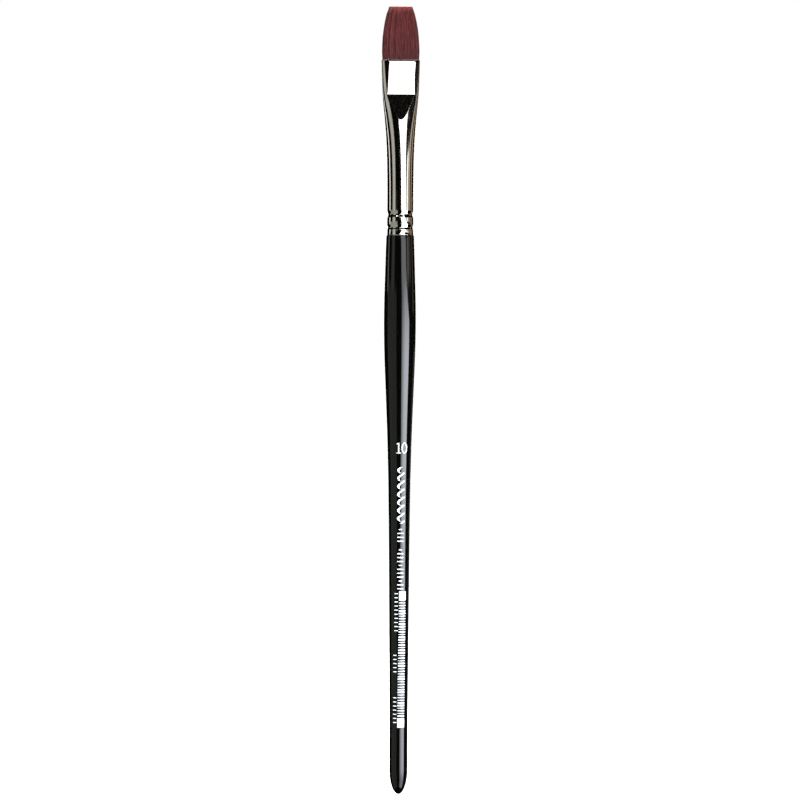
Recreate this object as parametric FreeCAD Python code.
# Long-handled flat artist's brush: a short square-topped tuft in a seamless ferrule that is pressed
# flat at its mouth, crimped in two places on a turned wooden handle. The tuft bends over the mouth.
#
# Frame: millimetres, +Z up along the brush, tail tip at the origin, tuft at the top.
# The flat faces look along -Y and +Y, and the width runs along X.
import FreeCAD, Part

import math
import os

os.makedirs("parts", exist_ok=True)

# Heights along the brush
LENGTH = 288.0
TUFT_OUT = 19.7  # free length of the tuft above the ferrule's mouth
FERRULE_LENGTH = 64.0
MOUTH_Z = LENGTH - TUFT_OUT
COLLAR_Z = MOUTH_Z - FERRULE_LENGTH  # the ferrule's lower end, on the handle's shoulder

# Ferrule
WALL = 0.3
BARREL_R = 4.8
BARREL_TOP_Z = COLLAR_Z + 16.0  # round below this, oval above
GIRTH = 2 * math.pi * BARREL_R  # the tube's girth stays the same where it is pressed oval
OVAL_WIDENING = [  # (drop below the mouth, half width of the oval)
    (-2.0, 7.07),
    (0.0, 7.03),
    (5.0, 6.9),
    (10.0, 6.75),
    (14.5, 6.46),
    (20.0, 5.93),
    (26.0, 5.42),
    (33.0, 5.05),
    (41.0, 4.87),
    (46.5, 4.805),
]
MOUTH_HALF_DEPTH = 1.41  # half thickness across the flat faces, at the mouth
CREASE_HALF_DEPTH = 1.62  # and at the crease, where the facet starts to lean out
CREASE_Z = MOUTH_Z - 12.6
FACET_ANGLE = 13.0  # lean of the facet below the crease, in degrees
CRIMPS = [  # (height above the collar, half width, depth) of each rolled groove, lowest first
    (2.8, 0.85, 0.22),
    (7.6, 1.35, 0.34),
]

# Handle, with its outline as (radius, height)
LAND_R = 3.34  # the straight land near the tail, which fits a stand or a rack
LAND_LOW_Z = 9.0  # and the length of the tail's rounded end
LAND_HIGH_Z = 28.0
NECK = [(3.58, 60.0), (3.85, 95.0), (4.22, 120.0), (5.08, 145.0)]
BELLY = (5.9, 171.0)
CHEST = (5.56, 190.0)
SHOULDER_R = 5.12
SHOULDER_ROUND = 0.3
TENON_R = 4.35
TENON_LENGTH = 17.0
TENON_CHAMFER = 1.0

# Fillings
GLUE_TOP_Z = COLLAR_Z + 15.0
ROOT_LENGTH = 20.0  # filament length held inside the ferrule
RESIN_DEPTH = 9.0
SEAT_GAP = 0.02  # between the fillings and the pressed wall

# Tuft
HINGE_Z = MOUTH_Z + 1.7  # the bend starts just above the mouth
HINGE_R = 1.3  # the tuft's rounded base, concentric with the bend
BEND_GAP = 0.3
TROUGH_RIM_Z = HINGE_Z - 1.25
TUFT_SIDE = [  # (half width, height above the mouth)
    (6.85, 1.7),
    (6.7, 7.5),
    (6.05, 13.0),
    (5.05, 17.4),
    (4.1, TUFT_OUT),
]
TUFT_WAIST = 1.35  # half thickness a third of the way up
TUFT_EDGE = 0.5  # half thickness at the cut edge
TUFT_CORNER = 1.2  # rounding of the tuft's narrow sides

REACH = 20.0  # half size of the plain blocks that trim the pieces


def point(x, z):
    return FreeCAD.Vector(x, 0, z)


def line(a, b):
    return Part.LineSegment(a, b).toShape()


def curve(points, **tangents):
    """A smooth edge through a few points. Its ends can be given tangents."""
    spline = Part.BSplineCurve()
    spline.interpolate(Points=points, **tangents)
    return spline.toShape()


def revolved(edges):
    """The solid that a closed outline in the XZ plane makes when turned about the brush's axis."""
    face = Part.Face(Part.Wire(Part.__sortEdges__(edges)))
    return face.revolve(FreeCAD.Vector(0, 0, 0), FreeCAD.Vector(0, 0, 1), 360)


def slab(low, high):
    """A block between two heights, wider than the brush."""
    corner = FreeCAD.Vector(-REACH, -REACH, low)
    return Part.makeBox(2 * REACH, 2 * REACH, high - low, corner)


def oval_half_depth(half_width):
    """Half depth of the oval that has the tube's girth, by halving (girth by Ramanujan's formula)."""
    low, high = 0.1, half_width
    for _ in range(50):
        half_depth = (low + high) / 2
        total = half_width + half_depth
        h = ((half_width - half_depth) / total) ** 2
        if math.pi * total * (1 + 3 * h / (10 + math.sqrt(4 - 3 * h))) < GIRTH:
            low = half_depth
        else:
            high = half_depth
    return half_depth


def crimped_side(radius, low, high):
    """Edges of a barrel's side from low to high, straight but for a round groove at each crimp."""
    edges = []
    z = low
    for height, half, depth in CRIMPS:
        middle = COLLAR_Z + height
        start = point(radius, middle - half)
        end = point(radius, middle + half)
        edges.append(line(point(radius, z), start))
        edges.append(Part.Arc(start, point(radius - depth, middle), end).toShape())
        z = middle + half
    edges.append(line(point(radius, z), point(radius, high)))
    return edges


def sleeve(outer, inner, low, high):
    """A crimped tube between two radii."""
    ends = [line(point(inner, z), point(outer, z)) for z in (low, high)]
    return revolved(crimped_side(outer, low, high) + crimped_side(inner, low, high) + ends)


def press_profile(inset):
    """The side view that the press leaves of the tube: two flats, then two facets that lean out."""
    run_out = (REACH - CREASE_HALF_DEPTH) / math.tan(math.radians(FACET_ANGLE))
    rise = MOUTH_HALF_DEPTH + (MOUTH_HALF_DEPTH - CREASE_HALF_DEPTH) * REACH / (MOUTH_Z - CREASE_Z)
    right = [
        (rise, MOUTH_Z + REACH),
        (CREASE_HALF_DEPTH, CREASE_Z),
        (REACH, CREASE_Z - run_out),
    ]
    outline = [FreeCAD.Vector(-REACH, y - inset, z) for y, z in right]
    outline += [FreeCAD.Vector(-REACH, inset - y, z) for y, z in reversed(right)]
    face = Part.Face(Part.makePolygon(outline + outline[:1]))
    return face.extrude(FreeCAD.Vector(2 * REACH, 0, 0))


def pressed_bar(inset):
    """The ferrule's space above the barrel as a solid bar, set in from the outside by inset."""
    base = Part.Circle(point(0, BARREL_TOP_Z), point(0, 1), BARREL_R - inset)
    wires = [Part.Wire(base.toShape())]
    for drop, half_width in reversed(OVAL_WIDENING):
        half_depth = oval_half_depth(half_width)
        oval = Part.Ellipse(point(0, MOUTH_Z - drop), half_width - inset, half_depth - inset)
        wires.append(Part.Wire(oval.toShape()))
    return Part.makeLoft(wires, True, False).common(press_profile(inset))


def make_ferrule():
    """Drawn tube: a round crimped barrel that runs into the pressed, flared mouth."""
    barrel = sleeve(BARREL_R, BARREL_R - WALL, COLLAR_Z, BARREL_TOP_Z)
    head = pressed_bar(0).cut(pressed_bar(WALL)).common(slab(BARREL_TOP_Z, MOUTH_Z))
    return barrel.fuse(head).removeSplitter()


def make_handle():
    """Turned handle: rounded tail, straight land, slim neck, belly, shoulder and crimped tenon."""
    tenon_top = COLLAR_Z + TENON_LENGTH
    chamfer_z = tenon_top - TENON_CHAMFER
    up = FreeCAD.Vector(0, 0, 1)
    land_low = point(LAND_R, LAND_LOW_Z)
    land_high = point(LAND_R, LAND_HIGH_Z)
    lip = point(SHOULDER_R, COLLAR_Z - SHOULDER_ROUND)
    shoulder = point(SHOULDER_R - SHOULDER_ROUND, COLLAR_Z)
    bevel = SHOULDER_ROUND * (1 - math.sqrt(0.5))

    tip = point(0, 0)
    tail = Part.Ellipse(tip, land_low, point(0, LAND_LOW_Z))
    body = [land_high] + [point(*place) for place in NECK + [BELLY, CHEST]] + [lip]
    edges = [
        Part.ArcOfEllipse(tail, 0, math.pi / 2).toShape(),
        line(land_low, land_high),
        curve(body, InitialTangent=up),
        Part.Arc(lip, point(SHOULDER_R - bevel, COLLAR_Z - bevel), shoulder).toShape(),
        line(shoulder, point(TENON_R, COLLAR_Z)),
    ]
    edges += crimped_side(TENON_R, COLLAR_Z, chamfer_z)
    edges += [
        line(point(TENON_R, chamfer_z), point(TENON_R - TENON_CHAMFER, tenon_top)),
        line(point(TENON_R - TENON_CHAMFER, tenon_top), point(0, tenon_top)),
        line(point(0, tenon_top), tip),
    ]
    return revolved(edges)


def make_tenon_glue():
    """Adhesive film between the tenon and the barrel, pressed in at the crimps like both of them."""
    return sleeve(BARREL_R - WALL, TENON_R, COLLAR_Z, GLUE_TOP_Z)


def make_resin_plug():
    """Set resin behind the filament roots."""
    root_z = MOUTH_Z - ROOT_LENGTH
    return pressed_bar(WALL + SEAT_GAP).common(slab(root_z - RESIN_DEPTH, root_z))


def make_tuft_root():
    """Bound length of the filaments, with a trough along its top for the free tuft's rounded base."""
    bar = pressed_bar(WALL + SEAT_GAP).common(slab(MOUTH_Z - ROOT_LENGTH, TROUGH_RIM_Z))
    start = FreeCAD.Vector(-REACH, 0, HINGE_Z)
    trough = Part.makeCylinder(HINGE_R + BEND_GAP, 2 * REACH, start, FreeCAD.Vector(1, 0, 0))
    return bar.cut(trough)


def front_block():
    """The tuft's front view through the whole depth: curved sides and a straight cut top."""
    outline = []
    for way in (1, -1):
        side = [FreeCAD.Vector(way * x, -REACH, MOUTH_Z + z) for x, z in TUFT_SIDE]
        foot = FreeCAD.Vector(way * TUFT_SIDE[0][0], -REACH, HINGE_Z - HINGE_R)
        outline.append([line(foot, side[0]), curve(side), side[-1], foot])
    (right_foot, right, right_top, right_low), (left_foot, left, left_top, left_low) = outline
    edges = [right_foot, right, line(right_top, left_top), left, left_foot, line(left_low, right_low)]
    face = Part.Face(Part.Wire(Part.__sortEdges__(edges)))
    return face.extrude(FreeCAD.Vector(0, 2 * REACH, 0))


def side_block():
    """The tuft's side view through the whole width: a round base that tapers to the cut edge."""
    ends = []
    edges = []
    for way in (1, -1):
        low = FreeCAD.Vector(-REACH, way * HINGE_R, HINGE_Z)
        waist = FreeCAD.Vector(-REACH, way * TUFT_WAIST, HINGE_Z + (LENGTH - HINGE_Z) / 3)
        high = FreeCAD.Vector(-REACH, way * TUFT_EDGE, LENGTH)
        edges.append(curve([low, waist, high]))
        ends.append((low, high))
    base = FreeCAD.Vector(-REACH, 0, HINGE_Z - HINGE_R)
    edges.append(line(ends[0][1], ends[1][1]))
    edges.append(Part.Arc(ends[0][0], base, ends[1][0]).toShape())
    face = Part.Face(Part.Wire(Part.__sortEdges__(edges)))
    return face.extrude(FreeCAD.Vector(2 * REACH, 0, 0))


def plan_block():
    """The tuft's section through the whole height: a flat bar with rounded corners."""
    half_width = TUFT_SIDE[0][0]
    half_depth = TUFT_WAIST + 0.1
    corner = FreeCAD.Vector(-half_width, -half_depth, 0)
    bar = Part.makeBox(2 * half_width, 2 * half_depth, LENGTH, corner)
    upright = [edge for edge in bar.Edges if abs(edge.Length - LENGTH) < 1e-6]
    return bar.makeFillet(TUFT_CORNER, upright)


def make_tuft():
    """Free length of the tuft: a straight-topped wedge, narrowing to a thin cut edge."""
    return front_block().common(side_block()).common(plan_block())


PIECES = {
    "handle": make_handle,
    "ferrule": make_ferrule,
    "tenon_glue": make_tenon_glue,
    "resin_plug": make_resin_plug,
    "tuft_root": make_tuft_root,
    "tuft": make_tuft,
}

for name, make in PIECES.items():
    shape = make()
    if len(shape.Solids) != 1 or not shape.isValid():
        raise ValueError(f"{name} is not one valid solid")
    solid = shape.Solids[0]
    solid.exportStep(f"parts/{name}.step")
    print(f"{name}: {solid.Volume:.1f} mm3")
